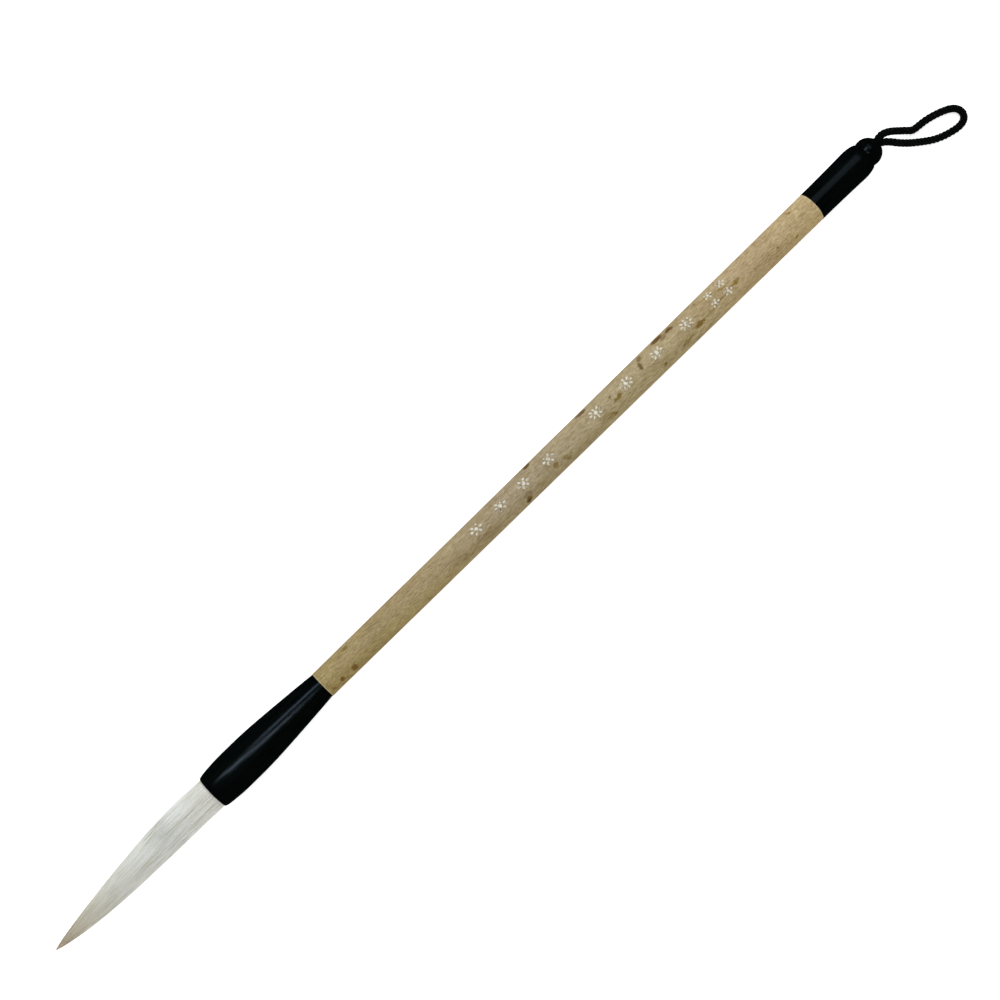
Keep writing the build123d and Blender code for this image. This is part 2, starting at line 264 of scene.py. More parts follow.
def build_tubes(name, lines, outs, radii, flatness, sides, tones):
    """One mesh of many closed tubes. Lines and the outward directions at their points are arrays of tubes
    by rings by 3, radii of tubes by rings. Flatness thins them outward. Each tube has one tone."""
    count, rings = radii.shape
    ahead = unit(np.gradient(lines, axis=1))
    across = unit(np.cross(ahead, outs))
    out = np.cross(across, ahead)
    turns = np.arange(sides) * 2 * math.pi / sides
    reach = radii[:, :, None, None]
    ring = np.cos(turns)[:, None] * across[:, :, None, :]
    ring = ring + flatness * np.sin(turns)[:, None] * out[:, :, None, :]
    points = (lines[:, :, None, :] + reach * ring).reshape(-1, 3)
    first = (np.arange(count)[:, None, None] * rings + np.arange(rings - 1)[None, :, None]) * sides
    second = first + sides
    corner = np.arange(sides)[None, None, :]
    after = (corner + 1) % sides
    quads = np.stack([first + corner, first + after, second + after, second + corner], axis=-1)
    tube_starts = np.arange(count)[:, None] * rings * sides
    starts = tube_starts + np.arange(sides)[::-1][None, :]
    ends = tube_starts + (rings - 1) * sides + np.arange(sides)[None, :]
    faces = quads.reshape(-1, 4).tolist() + starts.tolist() + ends.tolist()
    mesh = bpy.data.meshes.new(name)
    mesh.from_pydata(points.tolist(), [], faces)
    tone = mesh.attributes.new("tone", "FLOAT", "POINT")
    tone.data.foreach_set("value", np.repeat(tones, rings * sides).astype(np.float32))
    return mesh


def keep_rest_places(mesh):
    """Notes where each point lies at rest, as an attribute that the materials read their patterns from."""
    places = np.empty(len(mesh.vertices) * 3, np.float32)
    mesh.vertices.foreach_get("co", places)
    note = mesh.attributes.new("rest_place", "FLOAT_VECTOR", "POINT")
    note.data.foreach_set("vector", places)


def show_mesh(name, mesh, material):
    """A smooth object made from a mesh, with its material."""
    mesh.materials.append(material)
    mesh.polygons.foreach_set("use_smooth", [True] * len(mesh.polygons))
    mesh.update()
    piece = bpy.data.objects.new(name, mesh)
    bpy.context.scene.collection.objects.link(piece)
    return piece


# Dyed cotton: dull, nearly black, with fine ply lines along each strand and a few grey specks of lint.
cotton, tree = new_material("dyed_cotton_braid")
place = add_node(tree, "Attribute", attribute_name="rest_place")
strand = add_node(tree, "Attribute", attribute_name="tone")
ply_spacing = 0.12 * mm
ply = add_node(
    tree, "TexNoise", {"Vector": place.outputs["Vector"], "Scale": 1 / ply_spacing, "Detail": 2.0}
)
lint_spacing = 0.9 * mm
lint = add_node(
    tree, "TexNoise", {"Vector": place.outputs["Vector"], "Scale": 1 / lint_spacing, "Detail": 4.0}
)
dye = add_node(
    tree,
    "ValToRGB",
    {"Fac": strand.outputs["Fac"]},
    stops=[(0.0, linear("#010202")), (1.0, linear("#050606"))],
)
lint_share = add_node(
    tree, "MapRange", {"Value": lint.outputs["Fac"], "From Min": 0.70, "From Max": 0.75, "To Max": 0.8}
)
black = add_node(
    tree,
    "MixRGB",
    {"Fac": lint_share.outputs["Result"], "Color1": dye.outputs["Color"], "Color2": linear("#5a5c58")},
)
fuzz = add_node(
    tree, "Bump", {"Height": ply.outputs["Fac"], "Strength": 0.6, "Distance": 0.03 * mm}
)
cotton_shader = add_node(
    tree,
    "BsdfPrincipled",
    {
        "Base Color": black.outputs["Color"],
        "Roughness": 0.85,
        "Specular IOR Level": 0.08,
        "Sheen Weight": 0.015,
        "Sheen Roughness": 0.6,
        "Normal": fuzz.outputs["Normal"],
    },
)
close_material(tree, cotton_shader)

# Four strands wind each way. Each passes over one strand of the other hand and under the next.
strands_each_way = 4
braid_pitch = 4.6 * mm
strand_radius = 0.35 * mm
strand_flatness = 0.62
weave_lift = 0.10 * mm
# The slack braid stands out a little beyond the cord's nominal size.
braid_fullness = 0.08 * mm
weave_radius = cord_diameter / 2 + braid_fullness - strand_flatness * strand_radius
# The cap's hole presses the two legs to four fifths of their size. They swell again within 2 mm of it.
pressed_share = 0.80
swell_start_x = tail_x - 0.5 * mm
swell_end_x = tail_x + 1.6 * mm
ring_step = 0.16 * mm
strand_sides = 8

centre, along = resample(cord_line, ring_step)
side_a, side_b = carried_sides(centre)
swell = np.clip((centre[:, 0] - swell_start_x) / (swell_end_x - swell_start_x), 0, 1)
cord_share = pressed_share + (1 - pressed_share) * swell
strand_lines, strand_outs = [], []
for hand in (1, -1):
    for i in range(strands_each_way):
        turn = hand * (2 * math.pi * along / braid_pitch + 2 * math.pi * i / strands_each_way)
        out = np.cos(turn)[:, None] * side_a + np.sin(turn)[:, None] * side_b
        lift = hand * weave_lift * np.cos(2 * math.pi * strands_each_way * along / braid_pitch)
        strand_lines.append(centre + (cord_share * (weave_radius + lift))[:, None] * out)
        strand_outs.append(out)
# A core of three straight yarns fills the braid.
core_radius = weave_radius - 0.02 * mm
core_yarns = 3
yarn_reach = 0.45 * core_radius
yarn_radius = 0.62 * core_radius
for i in range(core_yarns):
    turn = 2 * math.pi * i / core_yarns
    out = math.cos(turn) * side_a + math.sin(turn) * side_b
    strand_lines.append(centre + (yarn_reach * cord_share)[:, None] * out)
    strand_outs.append(np.broadcast_to(out, centre.shape))
braid_strands = 2 * strands_each_way
strand_radii = np.full((braid_strands + core_yarns, len(centre)), strand_radius)
strand_radii[braid_strands:] = yarn_radius
strand_radii = strand_radii * cord_share
rng = np.random.default_rng(11)
cord_tones = rng.random(braid_strands + core_yarns)
cord_mesh = build_tubes(
    "braided_cord",
    np.array(strand_lines),
    np.array(strand_outs),
    strand_radii,
    strand_flatness,
    strand_sides,
    cord_tones,
)
keep_rest_places(cord_mesh)
braided_cord = show_mesh("braided_cord", cord_mesh, cotton)
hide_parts("cord_legs", "cord_loop")
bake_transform(braided_cord)


def dress(node, material):
    """Gives a carried-over CAD node its finish."""
    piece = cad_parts[node]
    if not piece.material_slots:
        piece.data.materials.append(material)
    for material_slot in piece.material_slots:
        material_slot.material = material


# The knot inside the cap is the same cord wound round itself. Its turns carry the braid's slant as bump.
knot_cotton, tree = new_material("dyed_cotton_knot")
place = add_node(tree, "TexCoord")
crossing_spacing = 0.6 * mm
braid_slant = 0.6
slanted_place = add_node(
    tree,
    "Mapping",
    {
        "Vector": place.outputs["Object"],
        "Rotation": (braid_slant, braid_slant, 0.0),
        "Scale": [1 / crossing_spacing] * 3,
    },
)
crossings = add_node(
    tree, "TexWave", {"Vector": slanted_place.outputs["Vector"], "Scale": 0.5, "Distortion": 1.0}
)
lint = add_node(tree, "TexNoise", {"Vector": place.outputs["Object"], "Scale": 1 / lint_spacing})
dye = add_node(
    tree,
    "ValToRGB",
    {"Fac": lint.outputs["Fac"]},
    stops=[(0.4, linear("#0a0b0b")), (0.8, linear("#1b1d1d"))],
)
fuzz = add_node(
    tree, "Bump", {"Height": crossings.outputs["Fac"], "Strength": 0.7, "Distance": 0.06 * mm}
)
knot_shader = add_node(
    tree,
    "BsdfPrincipled",
    {"Base Color": dye.outputs["Color"], "Roughness": 0.85, "Normal": fuzz.outputs["Normal"]},
)
close_material(tree, knot_shader)
dress("cord_knot", knot_cotton)


# ---------------------------------------------------------------- ferrule and tail cap
# Both are turned from black buffalo horn on a lathe and polished. The ferrule is glued over the shaft's
# front tenon and holds the tuft, and the cap is glued over the rear tenon and holds the cord.
# Horn is nearly black with faint brown growth lines along it. The polish leaves a soft gloss, with hair
# lines round the piece from the lathe and a little dulling where fingers rub.
horn, tree = new_material("polished_buffalo_horn")
place = add_node(tree, "TexCoord")
growth_length, growth_width = 9.0 * mm, 0.5 * mm
growth_place = add_node(
    tree,
    "Mapping",
    {"Vector": place.outputs["Object"], "Scale": (1 / growth_length, 1 / growth_width, 1 / growth_width)},
)
growth = add_node(
    tree, "TexNoise", {"Vector": growth_place.outputs["Vector"], "Scale": 1.0, "Detail": 4.0}
)
horn_colour = add_node(
    tree,
    "ValToRGB",
    {"Fac": growth.outputs["Fac"]},
    stops=[(0.35, linear("#000302")), (0.75, linear("#040807"))],
)
rub_size = 6.0 * mm
rub = add_node(
    tree, "TexNoise", {"Vector": place.outputs["Object"], "Scale": 1 / rub_size, "Detail": 5.0}
)
horn_roughness = add_node(
    tree,
    "MapRange",
    {"Value": rub.outputs["Fac"], "From Min": 0.3, "From Max": 0.7, "To Min": 0.17, "To Max": 0.23},
)
# Lathe lines are about 0.05 mm apart, drawn at 0.3 mm so that they show.
lathe_spacing = 0.3 * mm
lathe_line_length = 33.3 * mm
lathe_place = add_node(
    tree,
    "Mapping",
    {
        "Vector": place.outputs["Object"],
        "Scale": (1 / lathe_spacing, 1 / lathe_line_length, 1 / lathe_line_length),
    },
)
lathe_lines = add_node(
    tree, "TexNoise", {"Vector": lathe_place.outputs["Vector"], "Scale": 1.0, "Detail": 2.0}
)
relief = add_node(
    tree,
    "Math",
    {0: growth.outputs["Fac"], 1: 0.5, 2: lathe_lines.outputs["Fac"]},
    operation="MULTIPLY_ADD",
)
horn_bump = add_node(
    tree, "Bump", {"Height": relief.outputs["Value"], "Strength": 0.35, "Distance": 0.008 * mm}
)
horn_shader = add_node(
    tree,
    "BsdfPrincipled",
    {
        "Base Color": horn_colour.outputs["Color"],
        "Roughness": horn_roughness.outputs["Result"],
        "IOR": 1.54,
        "Normal": horn_bump.outputs["Normal"],
    },
)
close_material(tree, horn_shader)
dress("ferrule", horn)
dress("tail_cap", horn)


# ---------------------------------------------------------------- bamboo shaft
# One internode of bamboo with its natural skin, dried and rubbed smooth, turned down at both ends to the
# tenons that hide in the ferrule and the cap.
# Old bamboo skin is olive near the front and warmer tan near the tail, with fine lengthwise fibres, soft
# cloudy patches and brown mildew stains. It has a satin sheen, and its cut edges are pale.
ferrule_rear_x = ferrule_high.x
cap_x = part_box("tail_cap")[0].x
bamboo, tree = new_material("seasoned_bamboo_skin")
place = add_node(tree, "TexCoord")
parts_of_place = add_node(tree, "SeparateXYZ", {"Vector": place.outputs["Object"]})
shaft_share = add_node(
    tree,
    "MapRange",
    {"Value": parts_of_place.outputs["X"], "From Min": ferrule_rear_x, "From Max": cap_x},
)
skin_colour = add_node(
    tree,
    "ValToRGB",
    {"Fac": shaft_share.outputs["Result"]},
    stops=[
        (0.00, linear("#a89768")),
        (0.21, linear("#ae9f7b")),
        (0.38, linear("#ada087")),
        (0.65, linear("#b5a886")),
        (0.88, linear("#bdaa87")),
        (1.00, linear("#c7b48c")),
    ],
)
cloud_length, cloud_width = 14.0 * mm, 3.2 * mm
cloud_place = add_node(
    tree,
    "Mapping",
    {"Vector": place.outputs["Object"], "Scale": (1 / cloud_length, 1 / cloud_width, 1 / cloud_width)},
)
clouds = add_node(
    tree,
    "TexNoise",
    {"Vector": cloud_place.outputs["Vector"], "Scale": 1.0, "Detail": 5.0, "Roughness": 0.6},
)
cloud_tint = add_node(
    tree,
    "ValToRGB",
    {"Fac": clouds.outputs["Fac"]},
    stops=[(0.30, linear("#e6e0d4")), (0.50, linear("#f8f6f1")), (0.68, linear("#ffffff"))],
)
clouded = add_node(
    tree,
    "MixRGB",
    {"Fac": 1.0, "Color1": skin_colour.outputs["Color"], "Color2": cloud_tint.outputs["Color"]},
    blend_type="MULTIPLY",
)
# Painted shade: the -Y side, away from the key light, is tinted yellower and a little darker, mostly near
# the ferrule.
shade_side_edge_y = -3.6 * mm
shade_side = add_node(
    tree, "MapRange", {"Value": parts_of_place.outputs["Y"], "From Min": 0.0, "From Max": shade_side_edge_y}
)
shade_fading = add_node(
    tree,
    "MapRange",
    {"Value": shaft_share.outputs["Result"], "From Max": 0.6, "To Min": 1.0, "To Max": 0.45},
)
shade_share = add_node(
    tree, "Math", {0: shade_side.outputs["Result"], 1: shade_fading.outputs["Result"]}, operation="MULTIPLY"
)
shaded_skin = add_node(
    tree,
    "MixRGB",
    {"Fac": shade_share.outputs["Value"], "Color1": clouded.outputs["Color"], "Color2": linear("#f7f2c6")},
    blend_type="MULTIPLY",
)
# Bundles of fibres are 0.1 to 0.2 mm wide. Their tone changes every millimetre or two along them.
fibre_length, fibre_width = 1.5 * mm, 0.16 * mm
fibre_place = add_node(
    tree,
    "Mapping",
    {"Vector": place.outputs["Object"], "Scale": (1 / fibre_length, 1 / fibre_width, 1 / fibre_width)},
)
fibres = add_node(
    tree,
    "TexNoise",
    {"Vector": fibre_place.outputs["Vector"], "Scale": 1.0, "Detail": 4.0, "Roughness": 0.65},
)
fibre_tint = add_node(
    tree,
    "ValToRGB",
    {"Fac": fibres.outputs["Fac"]},
    stops=[(0.34, linear("#b5a98c")), (0.46, linear("#e2dac8")), (0.58, linear("#ffffff"))],
)
fibrous = add_node(
    tree,
    "MixRGB",
    {"Fac": 1.0, "Color1": shaded_skin.outputs["Color"], "Color2": fibre_tint.outputs["Color"]},
    blend_type="MULTIPLY",
)
# Pores and dust break the fibres up. They are about 0.1 mm wide, drawn at 0.28 mm so that they show.
pore_size = 0.28 * mm
pores = add_node(
    tree,
    "TexNoise",
    {"Vector": place.outputs["Object"], "Scale": 1 / pore_size, "Detail": 2.0, "Roughness": 0.6},
)
pore_tint = add_node(
    tree,
    "ValToRGB",
    {"Fac": pores.outputs["Fac"]},
    stops=[(0.34, linear("#d5ccb6")), (0.50, linear("#ffffff"))],
)
porous = add_node(
    tree,
    "MixRGB",
    {"Fac": 1.0, "Color1": fibrous.outputs["Color"], "Color2": pore_tint.outputs["Color"]},
    blend_type="MULTIPLY",
)

# Stains in mm: place behind the ferrule, place across from the top line, half length, half width, then the
# slant in degrees and the strength. Mildew turns the skin ochre, and scorching turns it grey brown.
ochre_stains = [
    (4.7, -2.5, 0.65, 0.65, 0, 1.0),
    (8.8, -2.5, 0.85, 0.80, 0, 1.0),
    (1.6, -2.6, 0.60, 0.40, 0, 0.6),
    (10.2, 2.8, 0.90, 0.40, 0, 0.5),
    (69.2, -2.9, 1.00, 0.50, 0, 0.7),
    (79.9, -1.4, 0.90, 0.50, 20, 0.6),
    (83.4, -2.1, 1.20, 0.60, -40, 0.5),
    (98.0, -1.9, 1.80, 0.90, -20, 0.35),
    (99.9, -2.5, 0.80, 0.40, -30, 0.6),
    (101.6, 1.4, 0.55, 0.30, 35, 0.8),
    (102.9, -0.2, 1.60, 0.45, 8, 0.9),
    (117.7, -2.7, 0.65, 0.35, 0, 1.0),
    (126.3, -2.3, 2.20, 0.35, 8, 0.5),
    (131.2, -1.3, 1.70, 0.60, 0, 0.75),
    (138.4, -0.7, 6.00, 0.20, 6, 0.6),
    (145.0, -0.1, 1.40, 0.40, 4, 0.75),
    (135.6, 2.6, 4.60, 0.20, -10, 0.5),
    (141.4, 1.3, 2.00, 0.25, -18, 0.6),
    (137.5, 0.7, 6.50, 1.60, 0, 0.12),
    (158.9, -1.3, 0.35, 0.30, 0, 0.8),
    (164.9, -2.8, 0.65, 0.30, 0, 0.9),
    (167.5, 3.1, 0.70, 0.30, -35, 0.7),
]
scorch_stains = [
    (68.9, -3.2, 0.60, 0.50, 0, 0.8),
    (69.6, -2.0, 1.30, 0.90, 0, 0.3),
    (74.3, 3.6, 1.20, 0.40, 0, 0.9),
    (93.6, 3.6, 1.80, 0.50, 0, 0.7),
    (112.6, 1.5, 0.50, 1.10, -20, 0.7),
    (113.8, 3.2, 1.00, 0.50, 30, 0.6),
    (120.6, 3.5, 1.80, 0.50, 0, 0.9),
    (122.2, 2.7, 1.20, 0.60, 20, 0.4),
    (124.5, 3.2, 1.30, 0.50, 0, 0.9),
    (46.5, -1.6, 2.60, 1.40, 0, 0.15),
    (57.5, -2.2, 3.50, 1.30, 0, 0.2),
]
# Their edges wander, because the place that they are measured from is pushed about by a noise.
wander_size, wander_reach = 0.9 * mm, 1.3 * mm
wander = add_node(
    tree, "TexNoise", {"Vector": place.outputs["Object"], "Scale": 1 / wander_size, "Detail": 5.0}
)
pushed = add_node(
    tree,
    "VectorMath",
    {0: wander.outputs["Color"], 1: [wander_reach] * 3, 2: place.outputs["Object"]},
    operation="MULTIPLY_ADD",
)
wandered_place = add_node(
    tree, "VectorMath", {0: pushed.outputs["Vector"], 1: [-wander_reach / 2] * 3}, operation="ADD"
)
shaft_radius = 4.0 * mm
stain_depth = 1.2 * mm
stain_strength = 1.3
# A stain is full up to three quarters of its size, and gone at one and a quarter.
full_at, faded_at = 0.75, 1.25
stained = porous
for stains, tint in ((ochre_stains, "#c6b04a"), (scorch_stains, "#ab905c")):
    mask = None
    for behind, across, half_length, half_width, slant, strength in stains:
        height = math.sqrt(shaft_radius**2 - (across * mm) ** 2)
        spot_place = add_node(
            tree,
            "Mapping",
            {
                "Vector": wandered_place.outputs["Vector"],
                "Location": (ferrule_rear_x + behind * mm, across * mm, axis_z + height),
                "Rotation": (0, 0, math.radians(slant)),
                "Scale": (half_length * mm, half_width * mm, stain_depth),
            },
            vector_type="TEXTURE",
        )
        far = add_node(tree, "VectorMath", {0: spot_place.outputs["Vector"]}, operation="LENGTH")
        spot = add_node(
            tree,
            "MapRange",
            {
                "Value": far.outputs["Value"],
                "From Min": faded_at,
                "From Max": full_at,
                "To Max": min(1.0, stain_strength * strength),
            },
            interpolation_type="SMOOTHSTEP",
        )
        if mask:
            mask = add_node(
                tree, "Math", {0: mask.outputs[0], 1: spot.outputs["Result"]}, operation="MAXIMUM"
            )
        else:
            mask = spot
    stained = add_node(
        tree,
        "MixRGB",
        {"Fac": mask.outputs[0], "Color1": stained.outputs["Color"], "Color2": linear(tint)},
        blend_type="MULTIPLY",
    )
# The knife leaves a pale line where the skin ends at each shoulder, fainter at the cap.
pale_edge = 0.25 * mm
pale_share, rear_share = 0.3, 0.3
front_edge = add_node(
    tree,
    "MapRange",
    {
        "Value": parts_of_place.outputs["X"],
        "From Min": ferrule_rear_x + pale_edge,
        "From Max": ferrule_rear_x + 0.4 * pale_edge,
    },
)
rear_edge = add_node(
    tree,
    "MapRange",
    {
        "Value": parts_of_place.outputs["X"],
        "From Min": cap_x - 2 * pale_edge,
        "From Max": cap_x - pale_edge,
    },
)
faint_rear = add_node(tree, "Math", {0: rear_edge.outputs["Result"], 1: rear_share}, operation="MULTIPLY")
edges = add_node(
    tree, "Math", {0: front_edge.outputs["Result"], 1: faint_rear.outputs["Value"]}, operation="MAXIMUM"
)
edge_share = add_node(tree, "Math", {0: edges.outputs["Value"], 1: pale_share}, operation="MULTIPLY")
bamboo_colour = add_node(
    tree,
    "MixRGB",
    {"Fac": edge_share.outputs["Value"], "Color1": stained.outputs["Color"], "Color2": linear("#d8c9a8")},
)
bamboo_roughness = add_node(
    tree, "MapRange", {"Value": clouds.outputs["Fac"], "To Min": 0.45, "To Max": 0.62}
)
bamboo_bump = add_node(
    tree, "Bump", {"Height": fibres.outputs["Fac"], "Strength": 0.5, "Distance": 0.02 * mm}
)
bamboo_shader = add_node(
    tree,
    "BsdfPrincipled",
    {
        "Base Color": bamboo_colour.outputs["Color"],
        "Roughness": bamboo_roughness.outputs["Result"],
        "IOR": 1.48,
        "Sheen Weight": 0.03,
        "Sheen Roughness": 0.3,
        "Normal": bamboo_bump.outputs["Normal"],
    },
)
close_material(tree, bamboo_shader)
dress("bamboo_shaft", bamboo)


# ---------------------------------------------------------------- paint in the engraving
# White paint rubbed into the cut flowers and wiped off the skin. It fills the cuts to just below the
# skin. It is chalky and uneven, and where it is thin the dark floor of the cut shows through.
paint, tree = new_material("chalky_white_paint")
place = add_node(tree, "TexCoord")
thin_size = 0.5 * mm
thin_spots = add_node(
    tree, "TexNoise", {"Vector": place.outputs["Object"], "Scale": 1 / thin_size, "Detail": 3.0}
)
paint_colour = add_node(
    tree,
    "ValToRGB",
    {"Fac": thin_spots.outputs["Fac"]},
    stops=[(0.36, linear("#5e4632")), (0.43, linear("#bdb8a6")), (0.60, linear("#d6d4c8"))],
)
chalk_grain = 0.08 * mm
grain = add_node(
    tree, "TexNoise", {"Vector": place.outputs["Object"], "Scale": 1 / chalk_grain, "Detail": 2.0}
)
paint_bump = add_node(
    tree, "Bump", {"Height": grain.outputs["Fac"], "Strength": 0.5, "Distance": 0.02 * mm}
)
paint_shader = add_node(
    tree,
    "BsdfPrincipled",
    {
        "Base Color": paint_colour.outputs["Color"],
        "Roughness": 0.7,
        "Normal": paint_bump.outputs["Normal"],
    },
)
close_material(tree, paint_shader)
dress("engraving_paint", paint)


# ---------------------------------------------------------------- tuft
# White goat hair in three layers, tied, sealed and glued by its root into the ferrule. The hairs lie
# side by side from the root, swell over the lining in the belly and come together in a point.
# Goat hair is ivory white and silky, with grey and straw coloured hairs among the rest. The point is
# stained straw brown by the starch that a new brush is shaped with.
tip_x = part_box("hair_mantle_point")[0].x
mouth_x = ferrule_low.x
goat_hair, tree = new_material("white_goat_hair")
place = add_node(tree, "Attribute", attribute_name="rest_place")
combed = add_node(tree, "Attribute", attribute_name="combed_place")
strand = add_node(tree, "Attribute", attribute_name="tone")
parts_of_place = add_node(tree, "SeparateXYZ", {"Vector": place.outputs["Vector"]})
tuft_share = add_node(
    tree, "MapRange", {"Value": parts_of_place.outputs["X"], "From Min": tip_x, "From Max": mouth_x}
)
hair_colour = add_node(
    tree,
    "ValToRGB",
    {"Fac": tuft_share.outputs["Result"]},
    stops=[
        (0.00, linear("#e6ccaf")),
        (0.07, linear("#d5cab4")),
        (0.22, linear("#dfdcd0")),
        (0.42, linear("#e9eae6")),
        (0.75, linear("#eff1f0")),
        (1.00, linear("#ededea")),
    ],
)
# Locks of a few hairs differ in tone. The pattern runs along the hairs and narrows with them to the tip.
lock_length, lock_width = 10.0 * mm, 0.20 * mm
lock_place = add_node(
    tree,
    "Mapping",
    {"Vector": combed.outputs["Vector"], "Scale": (1 / lock_length, 1 / lock_width, 1 / lock_width)},
)
locks = add_node(
    tree,
    "TexNoise",
    {"Vector": lock_place.outputs["Vector"], "Scale": 1.0, "Detail": 3.0, "Roughness": 0.6},
)
lock_tint = add_node(
    tree,
    "ValToRGB",
    {"Fac": locks.outputs["Fac"]},
    stops=[(0.30, linear("#c2beb0")), (0.43, linear("#eeece6")), (0.56, linear("#ffffff"))],
)
strand_tint = add_node(
    tree,
    "ValToRGB",
    {"Fac": strand.outputs["Fac"]},
    stops=[
        (0.0, linear("#e0dac9")),
        (0.12, linear("#f2f0ea")),
        (0.5, linear("#fafaf8")),
        (1.0, linear("#ffffff")),
    ],
)
locked = add_node(
    tree,
    "MixRGB",
    {"Fac": 1.0, "Color1": hair_colour.outputs["Color"], "Color2": lock_tint.outputs["Color"]},
    blend_type="MULTIPLY",
)
stranded = add_node(
    tree,
    "MixRGB",
    {"Fac": 1.0, "Color1": locked.outputs["Color"], "Color2": strand_tint.outputs["Color"]},
    blend_type="MULTIPLY",
)
# The scales on a hair are 0.01 mm long. They are drawn as short flecks sixty times that, so that they show.
scale_length, scale_width = 0.6 * mm, 0.12 * mm
scale_place = add_node(
    tree,
    "Mapping",
    {"Vector": combed.outputs["Vector"], "Scale": (1 / scale_length, 1 / scale_width, 1 / scale_width)},
)
scales = add_node(
    tree, "TexNoise", {"Vector": scale_place.outputs["Vector"], "Scale": 1.0, "Detail": 2.0}
)
scale_tint = add_node(
    tree,
    "ValToRGB",
    {"Fac": scales.outputs["Fac"]},
    stops=[(0.32, linear("#e3e1da")), (0.47, linear("#ffffff"))],
)
scaled = add_node(
    tree,
    "MixRGB",
    {"Fac": 1.0, "Color1": stranded.outputs["Color"], "Color2": scale_tint.outputs["Color"]},
    blend_type="MULTIPLY",
)
hair_bump = add_node(
    tree, "Bump", {"Height": scales.outputs["Fac"], "Strength": 0.4, "Distance": 0.01 * mm}
)
hair_shader = add_node(
    tree,
    "BsdfPrincipled",
    {
        "Base Color": scaled.outputs["Color"],
        "Roughness": 0.55,
        "IOR": 1.55,
        "Specular IOR Level": 0.35,
        "Sheen Weight": 0.15,
        "Sheen Roughness": 0.4,
        "Normal": hair_bump.outputs["Normal"],
    },
)
close_material(tree, hair_shader)

# The hair's outline, by the distance behind its tip: it swells to its fullest place, keeps nearly that to
# the ferrule's mouth, and is packed a little tighter inside.
fullest_place = 46.0 * mm
fullest_radius = 4.46 * mm
mouth_place = mouth_x - tip_x
bore_hair_radius = 4.26 * mm
root_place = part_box("root_glue")[0].x - tip_x
seam_place = 38.0 * mm
squeeze_depth, squeeze_length = 0.05 * mm, 7.5 * mm


def smooth_step(start, end, value):
    """A soft change from 0 to 1 between two values."""
    share = np.clip((value - start) / (end - start), 0, 1)
    return share * share * (3 - 2 * share)


def tuft_radius(place):
    """How far the tuft reaches from its middle line, at a place behind its tip."""
    share = np.clip(place / fullest_place, 0, 1)
    rise = fullest_radius * (1 - (1 - share) ** 1.8) ** 0.76
    squeeze = squeeze_depth * np.clip((place - fullest_place) / squeeze_length, 0, 1) ** 2
    in_bore = smooth_step(mouth_place - 0.7 * mm, mouth_place - 0.05 * mm, place)
    return (rise - squeeze) * (1 - in_bore) + bore_hair_radius * in_bore


def tuft_middle(place):
    """The tuft's middle line, in the row frame. Its belly leans one way and its point the other."""
    belly_sway, point_sway = 0.18 * mm, -0.80 * mm
    sway = belly_sway + (point_sway - belly_sway) * (1 - smooth_step(7 * mm, 44 * mm, place))
    sway = sway * (1 - smooth_step(fullest_place, mouth_place, place))
    return np.stack([tip_x + place, sway, np.full_like(place, axis_z)], axis=-1)


def outward(turn):
    """The direction square to the brush at a turn about it."""
    return np.stack([np.zeros_like(turn), np.cos(turn), np.sin(turn)], axis=-1)


rng = np.random.default_rng(7)
# Six sets of locks lie over each other. Each set has its number round the tuft, its start and its twist
# in radians per metre.
lock_counts = np.array([9, 14, 19, 25, 32, 41])
lock_phases = rng.random(len(lock_counts)) * 2 * math.pi
twist_range = 60
lock_twists = (rng.random(len(lock_counts)) - 0.5) * twist_range
lock_depth = 0.018 * mm


def lock_relief(place, turn):
    """How far locks of hair stand out of the even surface or sink into it."""
    waves = [np.cos(n * turn + p + t * place) for n, p, t in zip(lock_counts, lock_phases, lock_twists)]
    return lock_depth * sum(waves) / math.sqrt(len(lock_counts))


# Goat hair is 0.03 to 0.07 mm thick. The loose hairs are drawn about twice that, so that they show.
hair_radius = 0.055 * mm
hair_sides = 3
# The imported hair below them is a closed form. It lies a little deeper and has a middling tone.
under_hair = 0.08 * mm
form_columns = 160
form_tone = 0.35
least_reach = 0.05 * mm


def hair_form(name, places, radii):
    """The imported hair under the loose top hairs: a closed body with fine flutes, from ring to ring."""
    turns = np.arange(form_columns) * 2 * math.pi / form_columns
    place_grid, turn_grid = np.meshgrid(places, turns, indexing="ij")
    thinning = np.minimum(1, radii / fullest_radius)[:, None]
    reach = np.maximum(radii[:, None] + lock_relief(place_grid, turn_grid) * thinning, least_reach)
    points = tuft_middle(place_grid) + reach[..., None] * outward(turn_grid)
    first = np.arange(len(places) - 1)[:, None] * form_columns
    second = first + form_columns
    corner = np.arange(form_columns)[None, :]
    after = (corner + 1) % form_columns
    quads = np.stack([first + corner, first + after, second + after, second + corner], axis=-1)
    last = (len(places) - 1) * form_columns
    faces = quads.reshape(-1, 4).tolist()
    faces.append(list(range(form_columns))[::-1])
    faces.append([last + i for i in range(form_columns)])
    mesh = bpy.data.meshes.new(name)
    mesh.from_pydata(points.reshape(-1, 3).tolist(), [], faces)
    tone = mesh.attributes.new("tone", "FLOAT", "POINT")
    tone.data.foreach_set("value", np.full(len(mesh.vertices), form_tone, np.float32))
    return mesh


